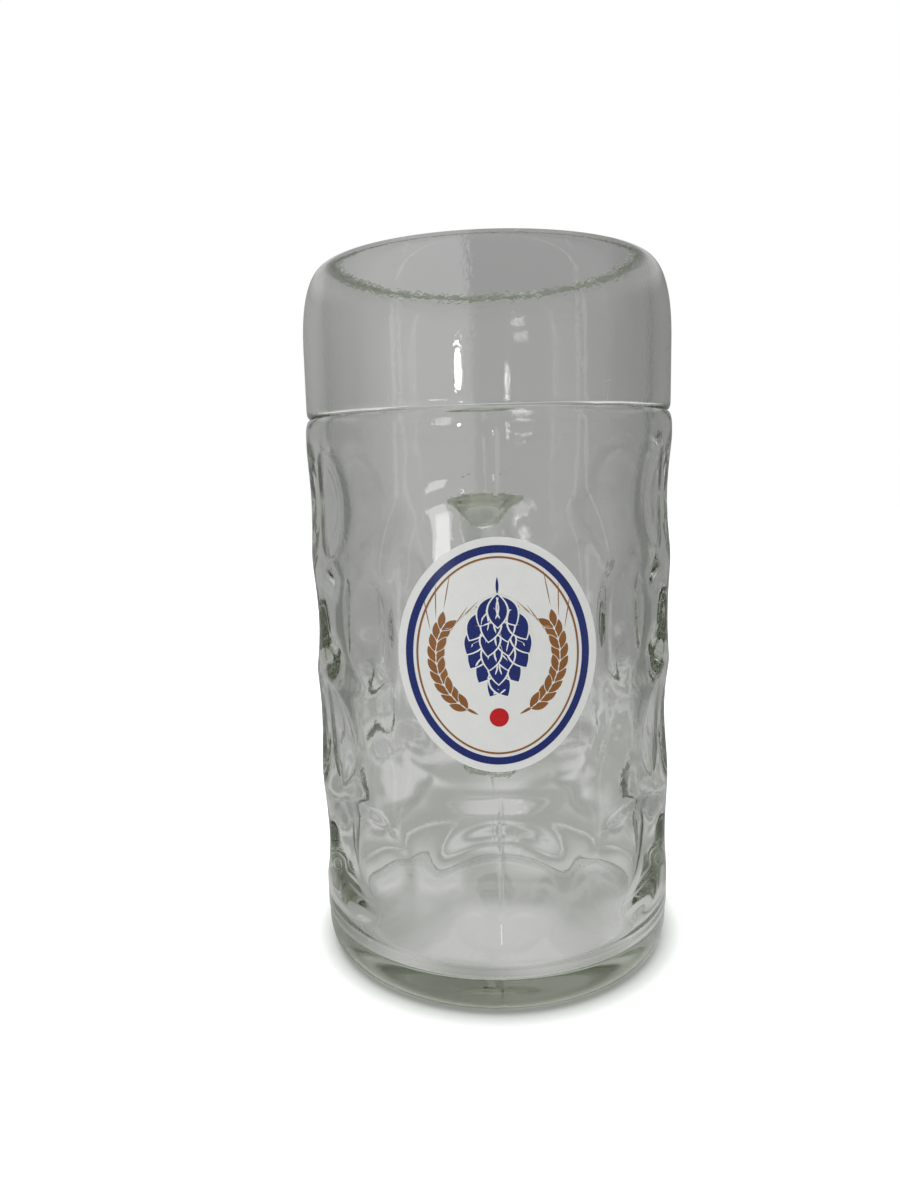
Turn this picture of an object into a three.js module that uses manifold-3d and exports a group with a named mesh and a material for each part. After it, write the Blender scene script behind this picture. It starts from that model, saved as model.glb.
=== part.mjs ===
// One-litre glass beer stein: a pressed glass body with staggered dimples and a smooth drinking
// collar, a glass handle fused to its back, and an oval label of fired enamel films on the plain
// medallion at the front. Millimetres, +Z up. The label faces -Y and the handle stands out to +Y.
// The origin is on the table, in the middle of the footprint of body and handle together.

import * as THREE from "three";
import { mergeVertices } from "three/addons/utils/BufferGeometryUtils.js";
import Module from "manifold-3d";

const wasm = await Module();
wasm.setup();

// Body: outside, from the table up
const HEIGHT = 200;
const BODY_RADIUS = 53.3;
const STANDING_INSET = 4.8;
const STANDING_WIDTH = 6.5;
const PUSH_UP_DEPTH = 1.2;
const BOTTOM_EDGE = 8;
const FOOT_HEIGHT = 11.5;
const FOOT_STEP = 0.3;

// Collar, lip and the groove under them
const COLLAR_HEIGHT = 41.5;
const COLLAR_STEP = 0.5;
const COLLAR_CURVE = 22;
const COLLAR_EDGE = 2.5;
const GROOVE_DEPTH = 1.4;
const SHOULDER_HEIGHT = 5;
const LIP_INSET = 8;
const LIP_LAND = 0.8;
const LIP_EDGE = 0.5;
const LIP_TURN = 7;
const LIP_FULLNESS = 0.7;

// Body: inside
const COLLAR_WALL = 5.5;
const BODY_WALL = 6.5;
const CAVITY_DRAFT = 1.2;
const FLOOR_THICKNESS = 11;
const FLOOR_CORNER = 9;

// Dimples: each one sinks a little below the chord of its own edges, in front of an even wall
const DIMPLE_COLUMNS = 8;
const DIMPLE_BRIDGE = 4.4;
const DIMPLE_HEIGHT = 34;
const DIMPLE_SINK = 0.5;
const DIMPLE_WALL = 5;
const DIMPLE_TOOL = 20;
const ROW_PITCH = 32.5;
const TOP_BAND = 2;
const FOOT_BAND = 20;

// Medallion for the label, measured down from the shoulder under the groove
const MEDALLION_WIDTH = 59.6;
const MEDALLION_HEIGHT = 79;
const MEDALLION_DROP = 54.5;
const MEDALLION_DEPTH = 0.7;
const MEDALLION_SQUARENESS = 3;
const MEDALLION_LAP = 0.4;

// Handle: its upper root hangs below the shoulder and its lower root stands above the table
const HANDLE_REACH = 46;
const UPPER_ROOT_DROP = 22.7;
const LOWER_ROOT = 38;
const HANDLE_RISE = 4;
const UPPER_BEND = 22;
const LOWER_BEND = 26;
const GRIP_THICKNESS = 15;
const GRIP_BACK = 23;
const GRIP_FRONT = 15;
const ROOT_THICKNESS = 18.5;
const UPPER_ROOT_BACK = 40;
const LOWER_ROOT_BACK = 26;
const ROOT_FRONT = 9;
const ROOT_SINK = 6;
const ROOT_CLEARANCE = 26;
const SECTION_SQUARENESS = 3;
const SECTION_HOLLOW = 1.3;
const JOINT_GAP = 0.3;

// Enamel films of the label: ground, border ring and keyline
const FILM_GAP = 0.1;
const FILM_THICKNESS = 0.2;
const LABEL_DROP = 1.5;
const LABEL_SIDE_MARGIN = 4.6;
const LABEL_END_MARGIN = 9.7;
const BORDER_MARGIN = 2;
const BORDER_WIDTH = 1.9;
const KEYLINE_MARGIN = 0.8;
const KEYLINE_WIDTH = 0.5;

// Enamel films of the label: ears, knot and cone
const EAR_MARGIN = 4.5;
const EAR_GRAINS = 9;
const EAR_SWEEP = 96;
const GRAIN_LENGTH = 5;
const GRAIN_WIDTH = 2.2;
const GRAIN_LEAN = 22.5;
const STEM_WIDTH = 0.9;
const KNOT_RADIUS = 2.4;
const KNOT_GAP = 4.8;
const CONE_MARGIN = 2.5;
const CONE_GAP = 1.6;
const CONE_HEIGHT = 27.6;
const CONE_ROWS = 6;
const CONE_FULLNESS = 0.8;
const SCALE_LENGTH = 9;
const SCALE_WIDTH = 5.6;

// Facets
const TURN_STEPS = 40;
const TOOL_STEPS = 20;
const TOOL_RINGS = 10;
const CURVE_STEPS = 4;
const SECTION_STEPS = 16;
const OUTLINE_STEPS = 48;
const GRAIN_STEPS = 10;

const TURN = Math.PI * 2;
const HALF_TURN = Math.PI;
const QUARTER_TURN = Math.PI / 2;
const ROUND = 2;
const { degToRad, lerp } = THREE.MathUtils;

// Closed mesh to solid and back, for cuts and joins
function toSolid(geometry) {
  const plain = geometry.index ? geometry.toNonIndexed() : geometry.clone();
  plain.deleteAttribute("normal");
  plain.deleteAttribute("uv");
  const merged = mergeVertices(plain);
  const corners = merged.index.array;
  const triVerts = [];
  for (let i = 0; i < corners.length; i += 3) {
    const [a, b, c] = corners.slice(i, i + 3);
    if (a !== b && b !== c && c !== a) triVerts.push(a, b, c);
  }
  return new wasm.Manifold(new wasm.Mesh({
    numProp: 3,
    vertProperties: Float32Array.from(merged.attributes.position.array),
    triVerts: Uint32Array.from(triVerts),
  }));
}

function toMesh(name, solid, material) {
  const { vertProperties, triVerts } = solid.getMesh();
  const geometry = new THREE.BufferGeometry();
  geometry.setAttribute("position", new THREE.BufferAttribute(vertProperties, 3));
  geometry.setIndex(new THREE.BufferAttribute(triVerts, 1));
  geometry.computeVertexNormals();
  const mesh = new THREE.Mesh(geometry, material);
  mesh.name = name;
  return mesh;
}

function join(solids) {
  return solids.reduce((whole, piece) => whole.add(piece));
}

// A profile of (radius, height) points turned about the upright axis
function revolve(points) {
  const geometry = new THREE.LatheGeometry(points, TURN_STEPS);
  return toSolid(geometry.rotateX(QUARTER_TURN));
}

// A flat outline of (across, up) points pushed out through the front of the body
function frontPrism(outline, centreHeight) {
  const shape = outline instanceof THREE.Shape ? outline : new THREE.Shape(outline);
  const prism = new THREE.ExtrudeGeometry(shape, { depth: BODY_RADIUS * 2, bevelEnabled: false });
  return toSolid(prism.rotateX(QUARTER_TURN).translate(0, 0, centreHeight));
}

// Points of a closed oval, from a plain ellipse at squareness 2 to fuller corners above it
function oval(width, height, squareness, steps) {
  const points = [];
  for (let i = 0; i < steps; i += 1) {
    const angle = (TURN * i) / steps;
    const across = Math.cos(angle);
    const up = Math.sin(angle);
    const power = ROUND / squareness;
    points.push(new THREE.Vector2(
      (width / 2) * Math.sign(across) * Math.abs(across) ** power,
      (height / 2) * Math.sign(up) * Math.abs(up) ** power,
    ));
  }
  return points;
}

// Outside of the body, turned as a full block; grow moves it outwards
const grooveHeight = HEIGHT - COLLAR_HEIGHT;
const shoulderHeight = grooveHeight - SHOULDER_HEIGHT;
const collarStart = grooveHeight + COLLAR_EDGE;
const collarEnd = HEIGHT - COLLAR_CURVE;
const collarRadius = BODY_RADIUS - COLLAR_STEP;
const lipRadius = collarRadius - LIP_INSET;
const lipOuter = lipRadius + LIP_LAND / 2;
const lipInner = lipRadius - LIP_LAND / 2;

function bodyBlock(grow) {
  const body = BODY_RADIUS + grow;
  const foot = body - FOOT_STEP;
  const collar = collarRadius + grow;
  const lip = lipOuter + grow;
  const standing = BODY_RADIUS - STANDING_INSET;
  const pushUp = standing - STANDING_WIDTH;
  const profile = new THREE.Path();
  profile.moveTo(0, PUSH_UP_DEPTH);
  profile.quadraticCurveTo(pushUp / 2, PUSH_UP_DEPTH, pushUp, 0);
  profile.lineTo(standing, 0);
  profile.quadraticCurveTo(foot, 0, foot, BOTTOM_EDGE);
  profile.lineTo(foot, FOOT_HEIGHT);
  profile.lineTo(body, FOOT_HEIGHT + FOOT_STEP);
  profile.lineTo(body, shoulderHeight);
  profile.quadraticCurveTo(body, grooveHeight, collar - GROOVE_DEPTH, grooveHeight);
  profile.quadraticCurveTo(collar, grooveHeight, collar, collarStart);
  profile.lineTo(collar, collarEnd);
  profile.bezierCurveTo(
    collar, HEIGHT - LIP_TURN,
    lip + LIP_TURN * LIP_FULLNESS, HEIGHT,
    lip, HEIGHT,
  );
  profile.lineTo(0, HEIGHT);
  return revolve(profile.getPoints(CURVE_STEPS));
}

// Inside of the body: follows the collar, steps in behind the groove, then drafts towards the floor
function cavityBlock() {
  const collarInner = collarRadius - COLLAR_WALL;
  const bodyInner = BODY_RADIUS - BODY_WALL;
  const floorRadius = bodyInner - CAVITY_DRAFT;
  const floorEnd = FLOOR_THICKNESS + FLOOR_CORNER;
  const mouth = lipInner - LIP_EDGE;
  const profile = new THREE.Path();
  profile.moveTo(0, FLOOR_THICKNESS);
  profile.lineTo(floorRadius - FLOOR_CORNER, FLOOR_THICKNESS);
  profile.quadraticCurveTo(floorRadius, FLOOR_THICKNESS, floorRadius, floorEnd);
  profile.lineTo(bodyInner, shoulderHeight - SHOULDER_HEIGHT / 2);
  profile.bezierCurveTo(
    bodyInner, grooveHeight,
    collarInner, grooveHeight,
    collarInner, collarStart + SHOULDER_HEIGHT / 2,
  );
  profile.lineTo(collarInner, collarEnd);
  profile.bezierCurveTo(
    collarInner, HEIGHT - LIP_TURN,
    mouth + LIP_LAND, HEIGHT - LIP_TURN / 2,
    mouth, HEIGHT - LIP_EDGE * 2,
  );
  profile.quadraticCurveTo(mouth, HEIGHT, lipInner, HEIGHT);
  profile.lineTo(lipInner, HEIGHT + LIP_EDGE);
  profile.lineTo(0, HEIGHT + LIP_EDGE);
  return revolve(profile.getPoints(CURVE_STEPS));
}

// Places of the dimples: staggered rows that leave out the medallion and the handle's two roots
const medallionCentre = shoulderHeight - MEDALLION_DROP;
const upperRoot = shoulderHeight - UPPER_ROOT_DROP;
const columnAngle = TURN / DIMPLE_COLUMNS;

function dimplePlaces() {
  const top = shoulderHeight - TOP_BAND - DIMPLE_HEIGHT / 2;
  const bottom = FOOT_BAND + DIMPLE_HEIGHT / 2;
  const gaps = Math.max(1, Math.round((top - bottom) / ROW_PITCH));
  const medallionAngle = Math.asin(MEDALLION_WIDTH / 2 / BODY_RADIUS);
  const places = [];
  for (let row = 0; row <= gaps; row += 1) {
    const height = lerp(top, bottom, row / gaps);
    const stagger = row % 2 === 0 ? columnAngle / 2 : 0;
    for (let column = 0; column < DIMPLE_COLUMNS; column += 1) {
      const angle = stagger + columnAngle * column;
      const fromFront = Math.min(angle, TURN - angle);
      const fromBack = (HALF_TURN - fromFront) * BODY_RADIUS;
      const onMedallion = fromFront < medallionAngle
        && Math.abs(height - medallionCentre) < MEDALLION_HEIGHT / 2;
      const onRoot = [upperRoot, LOWER_ROOT].some(
        (root) => Math.hypot(fromBack, height - root) < ROOT_CLEARANCE,
      );
      if (!onMedallion && !onRoot) places.push({ angle, height });
    }
  }
  return places;
}

// Half a ball for each dimple, its crown towards the axis, stretched until the dimple has its width
// and height; grow makes it larger, for the bulge on the inside of the wall
function dimpleTools(places, grow) {
  const width = BODY_RADIUS * Math.sin(columnAngle / 2) * 2 - DIMPLE_BRIDGE;
  const edgeAngle = Math.asin(width / 2 / BODY_RADIUS);
  const depth = BODY_RADIUS * (1 - Math.cos(edgeAngle)) + DIMPLE_SINK;
  const centreRadius = BODY_RADIUS - depth + DIMPLE_TOOL;
  const sideShare = (DIMPLE_TOOL - DIMPLE_SINK) / DIMPLE_TOOL;
  const endShare = (DIMPLE_TOOL - depth) / DIMPLE_TOOL;
  const across = width / 2 / Math.sqrt(1 - sideShare ** 2);
  const upright = DIMPLE_HEIGHT / 2 / Math.sqrt(1 - endShare ** 2);
  const crown = new THREE.Path();
  crown.absarc(0, 0, 1, -QUARTER_TURN, 0, false);
  crown.lineTo(0, 0);
  const points = crown.getPoints(TOOL_RINGS / 2);
  return join(places.map(({ angle, height }) => {
    const tool = new THREE.LatheGeometry(points, TOOL_STEPS);
    tool.rotateZ(HALF_TURN);
    tool.scale(across + grow, DIMPLE_TOOL + grow, upright + grow);
    tool.translate(0, -centreRadius, height);
    return toSolid(tool.rotateZ(angle));
  }));
}

// A thin sleeve round the body's axis, with the body's own facets
function sleeve(inner, outer) {
  return revolve([
    new THREE.Vector2(inner, 0),
    new THREE.Vector2(outer, 0),
    new THREE.Vector2(outer, HEIGHT),
    new THREE.Vector2(inner, HEIGHT),
    new THREE.Vector2(inner, 0),
  ]);
}

// The medallion's outline; the dimples run a small lap under its edge
const medallionRadius = BODY_RADIUS - MEDALLION_DEPTH;

function medallionPrism(inset) {
  const outline = oval(
    MEDALLION_WIDTH - inset * 2, MEDALLION_HEIGHT - inset * 2, MEDALLION_SQUARENESS, OUTLINE_STEPS,
  );
  return frontPrism(outline, medallionCentre);
}

function makeBody(material) {
  const places = dimplePlaces();
  const recess = sleeve(medallionRadius, BODY_RADIUS * 2).intersect(medallionPrism(0));
  const panel = medallionPrism(MEDALLION_LAP);
  const dimples = dimpleTools(places, 0).subtract(panel);
  const bulges = dimpleTools(places, DIMPLE_WALL).subtract(panel);
  const cavity = cavityBlock().subtract(bulges);
  return toMesh("mug_body", bodyBlock(0).subtract(dimples).subtract(recess).subtract(cavity), material);
}

// Rings of points joined into one closed skin, with a fan over each end
function loft(rings) {
  const sides = rings[0].length;
  const triangles = [];
  for (let ring = 0; ring < rings.length - 1; ring += 1) {
    for (let side = 0; side < sides; side += 1) {
      const a = ring * sides + side;
      const b = ring * sides + ((side + 1) % sides);
      triangles.push(a, a + sides, b, b, a + sides, b + sides);
    }
  }
  const last = (rings.length - 1) * sides;
  for (let side = 1; side < sides - 1; side += 1) {
    triangles.push(0, side, side + 1);
    triangles.push(last, last + side + 1, last + side);
  }
  const geometry = new THREE.BufferGeometry().setFromPoints(rings.flat());
  geometry.setIndex(triangles);
  return geometry;
}

// The handle's centre line leaves the wall, bends down into the grip and bends back to the wall
function handlePath() {
  const rootDepth = BODY_RADIUS - ROOT_SINK;
  const gripDepth = BODY_RADIUS + HANDLE_REACH - GRIP_THICKNESS / 2;
  const point = (depth, height) => new THREE.Vector3(0, depth, height);
  const gripTop = point(gripDepth, upperRoot - UPPER_BEND);
  const gripFoot = point(gripDepth, LOWER_ROOT + LOWER_BEND);
  const path = new THREE.CurvePath();
  path.add(new THREE.CubicBezierCurve3(
    point(rootDepth, upperRoot),
    point(BODY_RADIUS + HANDLE_REACH / 3, upperRoot + HANDLE_RISE / 2),
    point(gripDepth, upperRoot + HANDLE_RISE),
    gripTop,
  ));
  path.add(new THREE.LineCurve3(gripTop, gripFoot));
  path.add(new THREE.CubicBezierCurve3(
    gripFoot,
    point(gripDepth, LOWER_ROOT + LOWER_BEND / 4),
    point(BODY_RADIUS + HANDLE_REACH / 2, LOWER_ROOT + HANDLE_RISE / 2),
    point(rootDepth, LOWER_ROOT),
  ));
  return path;
}

// Broad outside, narrower inside, with hollow flanks that end in two points on the upper root; the
// sizes run from the upper root through the grip to the lower root
function makeHandle(material) {
  const path = handlePath();
  const sizes = new THREE.CatmullRomCurve3([
    new THREE.Vector3(UPPER_ROOT_BACK, ROOT_FRONT, ROOT_THICKNESS),
    new THREE.Vector3(GRIP_BACK, GRIP_FRONT, GRIP_THICKNESS),
    new THREE.Vector3(GRIP_BACK, GRIP_FRONT, GRIP_THICKNESS),
    new THREE.Vector3(LOWER_ROOT_BACK, ROOT_FRONT, ROOT_THICKNESS),
  ]);
  const stations = path.curves.length * CURVE_STEPS * 2;
  const rings = [];
  for (let i = 0; i <= stations; i += 1) {
    const share = i / stations;
    const centre = path.getPointAt(share);
    const along = path.getTangentAt(share);
    const outward = new THREE.Vector3(0, -along.z, along.y);
    const { x: back, y: front, z: thickness } = sizes.getPoint(share);
    rings.push(oval(1, thickness, SECTION_SQUARENESS, SECTION_STEPS).map(({ x, y }) => {
      const width = lerp(front, back, (y / thickness + 1 / 2) ** SECTION_HOLLOW);
      return centre.clone().addScaledVector(outward, y).setX(x * width);
    }));
  }
  return toMesh("handle", toSolid(loft(rings)).subtract(bodyBlock(JOINT_GAP)), material);
}

// A film is a flat outline laid on the medallion; layer 0 is the ground and layer 1 lies on it
function makeFilm(name, prism, layer, material) {
  const inner = medallionRadius + FILM_GAP + layer * (FILM_THICKNESS + FILM_GAP);
  return toMesh(name, prism.intersect(sleeve(inner, inner + FILM_THICKNESS)), material);
}

const labelCentre = medallionCentre - LABEL_DROP;
const labelWidth = MEDALLION_WIDTH - LABEL_SIDE_MARGIN * 2;
const labelHeight = MEDALLION_HEIGHT - LABEL_END_MARGIN * 2;
const keylineInset = BORDER_MARGIN + BORDER_WIDTH + KEYLINE_MARGIN;

function labelOval(inset) {
  return oval(labelWidth - inset * 2, labelHeight - inset * 2, ROUND, OUTLINE_STEPS);
}

function ovalRing(inset, width) {
  const shape = new THREE.Shape(labelOval(inset));
  shape.holes.push(new THREE.Path(labelOval(inset + width)));
  return frontPrism(shape, labelCentre);
}

// A pointed oval, for a grain or a scale, turned and placed in the label's plane
function grainPrism(length, width, place, turn) {
  const grain = new THREE.Shape();
  grain.moveTo(0, -length / 2);
  grain.quadraticCurveTo(width, 0, 0, length / 2);
  grain.quadraticCurveTo(-width, 0, 0, -length / 2);
  const points = grain.getPoints(GRAIN_STEPS / 2).slice(0, -1);
  const middle = new THREE.Vector2();
  return frontPrism(points.map((p) => p.rotateAround(middle, turn).add(place)), labelCentre);
}

// An ear of barley: an arc of stem with grains in pairs; side is 1 on the right and -1 on the left
const earRadius = labelWidth / 2 - keylineInset - KEYLINE_WIDTH - EAR_MARGIN;
const earStart = Math.asin((KNOT_RADIUS + KNOT_GAP) / earRadius) - QUARTER_TURN;
const earEnd = earStart + degToRad(EAR_SWEEP);

function barleyEar(side) {
  const onArc = (radius, angle) => new THREE.Vector2(
    side * radius * Math.cos(angle), radius * Math.sin(angle),
  );
  const arc = (radius) => Array.from(
    { length: GRAIN_STEPS + 1 },
    (_, i) => onArc(radius, lerp(earStart, earEnd, i / GRAIN_STEPS)),
  );
  const outer = arc(earRadius + STEM_WIDTH / 2);
  const inner = arc(earRadius - STEM_WIDTH / 2);
  const strokes = [frontPrism(outer.concat(inner.reverse()), labelCentre)];
  for (let i = 1; i <= EAR_GRAINS; i += 1) {
    const angle = lerp(earStart, earEnd, i / EAR_GRAINS);
    for (const lean of [-1, 1]) {
      const place = onArc(earRadius + (lean * GRAIN_WIDTH) / 2, angle);
      const turn = side * (angle - lean * degToRad(GRAIN_LEAN));
      strokes.push(grainPrism(GRAIN_LENGTH, GRAIN_WIDTH, place, turn));
    }
  }
  return join(strokes);
}

function knot() {
  const outline = oval(KNOT_RADIUS * 2, KNOT_RADIUS * 2, ROUND, GRAIN_STEPS * 2);
  return frontPrism(outline, labelCentre - earRadius);
}

// A hop cone: rows of overlapping scales over the knot, widest above the middle
function hopCone() {
  const coneWidth = (earRadius - EAR_MARGIN - CONE_MARGIN) * 2;
  const bottom = KNOT_RADIUS + CONE_GAP - earRadius;
  const rowStep = (CONE_HEIGHT - SCALE_LENGTH) / (CONE_ROWS - 1);
  const scales = [];
  for (let row = 0; row < CONE_ROWS; row += 1) {
    const fall = ((CONE_ROWS - row) / (CONE_ROWS + 1)) ** CONE_FULLNESS;
    const rowWidth = coneWidth * Math.sin(HALF_TURN * fall);
    const count = Math.round(rowWidth / SCALE_WIDTH) + 1;
    const spread = Math.max(0, rowWidth - SCALE_WIDTH);
    for (let i = 0; i < count; i += 1) {
      const share = count > 1 ? i / (count - 1) - 1 / 2 : 0;
      const place = new THREE.Vector2(share * spread, bottom + SCALE_LENGTH / 2 + rowStep * row);
      scales.push(grainPrism(SCALE_LENGTH, SCALE_WIDTH, place, share));
    }
  }
  return join(scales);
}

// Assembly
function glass() {
  return new THREE.MeshStandardMaterial({ color: 0xdde6df, roughness: 0.05, metalness: 0 });
}

function enamel(color) {
  return new THREE.MeshStandardMaterial({ color, roughness: 0.3, metalness: 0 });
}

const BLUE = 0x14266b;
const GOLD = 0x8a5a2b;
const RED = 0xc81414;
const WHITE = 0xf0efea;

const stein = new THREE.Group();
stein.add(makeBody(glass()));
stein.add(makeHandle(glass()));
stein.add(makeFilm("label_ground", frontPrism(labelOval(0), labelCentre), 0, enamel(WHITE)));
stein.add(makeFilm("border_ring", ovalRing(BORDER_MARGIN, BORDER_WIDTH), 1, enamel(BLUE)));
stein.add(makeFilm("gold_keyline", ovalRing(keylineInset, KEYLINE_WIDTH), 1, enamel(GOLD)));
stein.add(makeFilm("hop_cone", hopCone(), 1, enamel(BLUE)));
stein.add(makeFilm("barley_ear_right", barleyEar(1), 1, enamel(GOLD)));
stein.add(makeFilm("barley_ear_left", barleyEar(-1), 1, enamel(GOLD)));
stein.add(makeFilm("red_knot", knot(), 1, enamel(RED)));
stein.position.y = -HANDLE_REACH / 2;

export default stein;
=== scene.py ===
import math

import bmesh
import bpy
import numpy as np
from mathutils import Matrix, Vector


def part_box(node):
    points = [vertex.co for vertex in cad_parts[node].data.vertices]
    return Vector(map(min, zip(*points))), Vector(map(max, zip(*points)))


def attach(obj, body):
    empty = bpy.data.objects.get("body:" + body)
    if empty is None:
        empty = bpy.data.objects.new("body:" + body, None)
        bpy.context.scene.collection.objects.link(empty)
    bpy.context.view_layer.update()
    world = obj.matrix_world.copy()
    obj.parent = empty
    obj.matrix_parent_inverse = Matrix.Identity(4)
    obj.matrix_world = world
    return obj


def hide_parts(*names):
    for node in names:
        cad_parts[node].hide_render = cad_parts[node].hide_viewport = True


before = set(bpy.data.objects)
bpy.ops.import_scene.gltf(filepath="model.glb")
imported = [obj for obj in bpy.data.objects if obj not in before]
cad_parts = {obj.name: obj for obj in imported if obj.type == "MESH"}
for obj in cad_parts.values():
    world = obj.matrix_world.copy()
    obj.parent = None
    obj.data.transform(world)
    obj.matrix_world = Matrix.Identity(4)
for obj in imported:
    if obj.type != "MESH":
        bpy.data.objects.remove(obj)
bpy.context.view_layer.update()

# Pressed glass body
# The vessel itself: soda-lime glass pressed in an iron mould, so every edge is soft and the inside
# swells behind each dimple. A smooth collar for drinking stands over a shallow groove.
low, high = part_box("mug_body")
axis_y = (low.y + high.y) / 2
body_radius = (high.x - low.x) / 2
height = high.z

push_up_depth = 0.0012
standing_inset = 0.0048
standing_width = 0.0065
bottom_edge = 0.008
foot_height = 0.0115
foot_step = 0.0003
collar_height = 0.0415
collar_step = 0.0005
collar_curve = 0.022
collar_edge = 0.0025
groove_depth = 0.0014
shoulder_height = 0.005
lip_inset = 0.008
lip_land = 0.0008
lip_edge = 0.0005
lip_turn = 0.005
lip_fullness = 0.7
collar_wall = 0.0055
body_wall = 0.0065
cavity_draft = 0.0012
floor_thickness = 0.008
floor_corner = 0.006

standing = body_radius - standing_inset
push_up = standing - standing_width
foot = body_radius - foot_step
groove_height = height - collar_height
shoulder = groove_height - shoulder_height
collar = body_radius - collar_step
collar_start = groove_height + collar_edge
collar_end = height - collar_curve
lip_outer = collar - lip_inset + lip_land / 2
lip_inner = lip_outer - lip_land
mouth = lip_inner - lip_edge
collar_inner = collar - collar_wall
body_inner = body_radius - body_wall
inner_step = shoulder - shoulder_height / 2
floor_radius = body_inner - cavity_draft


def bezier(steps, *points):
    """Points along a Bezier curve, without its first one, so that stretches can be chained."""
    share = np.linspace(0, 1, steps + 1)[1:, None]
    layer = [np.tile(np.array(point, float), (steps, 1)) for point in points]
    while len(layer) > 1:
        layer = [a + (b - a) * share for a, b in zip(layer, layer[1:])]
    return layer[0]


def chain(start, stretches):
    """One outline from stretches of (steps, control points), each starting where the last ended."""
    outline = [np.array(start, float)]
    for steps, *points in stretches:
        outline.extend(bezier(steps, outline[-1], *points))
    return np.array(outline)


outside = chain((0, push_up_depth), (
    (12, (push_up / 2, push_up_depth), (push_up, 0)),
    (3, (standing, 0)),
    (12, (foot, 0), (foot, bottom_edge)),
    (3, (foot, foot_height)),
    (2, (body_radius, foot_height + foot_step)),
    (96, (body_radius, shoulder)),
    (12, (body_radius, groove_height), (collar - groove_depth, groove_height)),
    (8, (collar, groove_height), (collar, collar_start)),
    (8, (collar, collar_end)),
    (24, (collar, height - lip_turn), (lip_outer + lip_turn * lip_fullness, height), (lip_outer, height)),
    (2, (lip_inner, height)),
))
inside = chain(outside[-1], (
    (6, (mouth, height), (mouth, height - lip_edge * 2)),
    (16, (mouth + lip_land, height - lip_turn / 2), (collar_inner, height - lip_turn),
     (collar_inner, collar_end)),
    (6, (collar_inner, collar_start + shoulder_height / 2)),
    (14, (collar_inner, groove_height), (body_inner, groove_height), (body_inner, inner_step)),
    (84, (floor_radius, floor_thickness + floor_corner)),
    (16, (floor_radius, floor_thickness), (floor_radius - floor_corner, floor_thickness)),
    (8, (0, floor_thickness)),
))

# Columns round the glass, with finer ones beside the mould's seam in front and behind
turn_columns = 224
seam_offsets = np.radians((-0.9, -0.5, -0.25, 0.25, 0.5, 0.9))


def revolve(name, outline, angles):
    """A closed mesh turned about the body's axis; the outline starts and ends on that axis."""
    rings, columns = len(outline) - 2, len(angles)
    radius, level = outline[1:-1, 0, None], outline[1:-1, 1, None]
    rim = np.stack([radius * np.sin(angles), axis_y - radius * np.cos(angles),
                    np.broadcast_to(level, (rings, columns))], axis=-1).reshape(-1, 3)
    poles = [(0, axis_y, outline[0, 1]), (0, axis_y, outline[-1, 1])]
    first, last = rings * columns, rings * columns + 1
    faces = []
    for column in range(columns):
        after = (column + 1) % columns
        faces.append((first, after, column))
        for ring in range(rings - 1):
            a, b = ring * columns, (ring + 1) * columns
            faces.append((a + column, a + after, b + after, b + column))
        faces.append((last, b + column, b + after))
    mesh = bpy.data.meshes.new(name)
    mesh.from_pydata(np.vstack([rim, poles]).tolist(), [], faces)
    mesh.polygons.foreach_set("use_smooth", [True] * len(mesh.polygons))
    obj = bpy.data.objects.new(name, mesh)
    bpy.context.scene.collection.objects.link(obj)
    return obj


even = np.linspace(-math.pi, math.pi, turn_columns, endpoint=False)
turn_angles = np.unique(np.concatenate([even, seam_offsets, seam_offsets + math.pi]) % (2 * math.pi))
glass = revolve("stein_glass", np.vstack([outside, inside[1:]]), turn_angles)
on_inside = np.arange(len(outside) + len(inside) - 3) >= len(outside) - 1
flags = np.append(np.repeat(on_inside, len(turn_angles)), (False, True)).astype(np.float32)
glass.data.attributes.new("inside", "FLOAT", "POINT").data.foreach_set("value", flags)


def add_node(tree, kind, *inputs, **settings):
    """Adds a node with its settings. Inputs come in order or as one dict of names: a node or a
    socket is linked, another value is set, and None leaves the input alone."""
    node = tree.nodes.new(kind)
    for setting, value in settings.items():
        setattr(node, setting, value)
    named = inputs[0].items() if inputs and isinstance(inputs[0], dict) else enumerate(inputs)
    for key, value in named:
        if isinstance(value, bpy.types.Node):
            tree.links.new(value.outputs[0], node.inputs[key])
        elif isinstance(value, bpy.types.NodeSocket):
            tree.links.new(value, node.inputs[key])
        elif value is not None:
            node.inputs[key].default_value = value
    return node


def new_tree(name, inputs, output):
    """An empty geometry tree with named inputs and one output; returns it with its input sockets."""
    tree = bpy.data.node_groups.new(name, "GeometryNodeTree")
    for label, kind in inputs:
        tree.interface.new_socket(label, in_out="INPUT", socket_type="NodeSocket" + kind)
    label, kind = output
    tree.interface.new_socket(label, in_out="OUTPUT", socket_type="NodeSocket" + kind)
    return tree, tree.nodes.new("NodeGroupInput").outputs


MATH = "ShaderNodeMath"

# One row of dimples as a rule: the distance from the axis to the nearest dimple's ball, smoothly
# joined to the wall that is already there
row_inputs = ("Radius", "Angle", "Level", "Row Level", "Stagger", "Pitch", "First", "Last",
              "Across", "Reach", "Upright", "Centre", "Blend")
row, given = new_tree("dimple_row", [(name, "Float") for name in row_inputs], ("Radius", "Float"))
half_pitch = add_node(row, MATH, given["Pitch"], 0.5, operation="MULTIPLY")
half_back = add_node(row, MATH, given["Pitch"], -0.5, operation="MULTIPLY")
turned = add_node(row, MATH, given["Angle"], given["Stagger"], operation="SUBTRACT")
offset = add_node(row, MATH, turned, half_pitch, half_back, operation="WRAP")
cell = add_node(row, MATH, given["Angle"], offset, operation="SUBTRACT")
cell = add_node(row, MATH, cell, math.pi, -math.pi, operation="WRAP")
cell = add_node(row, MATH, cell, operation="ABSOLUTE")
sine = add_node(row, MATH, offset, operation="SINE")
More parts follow.
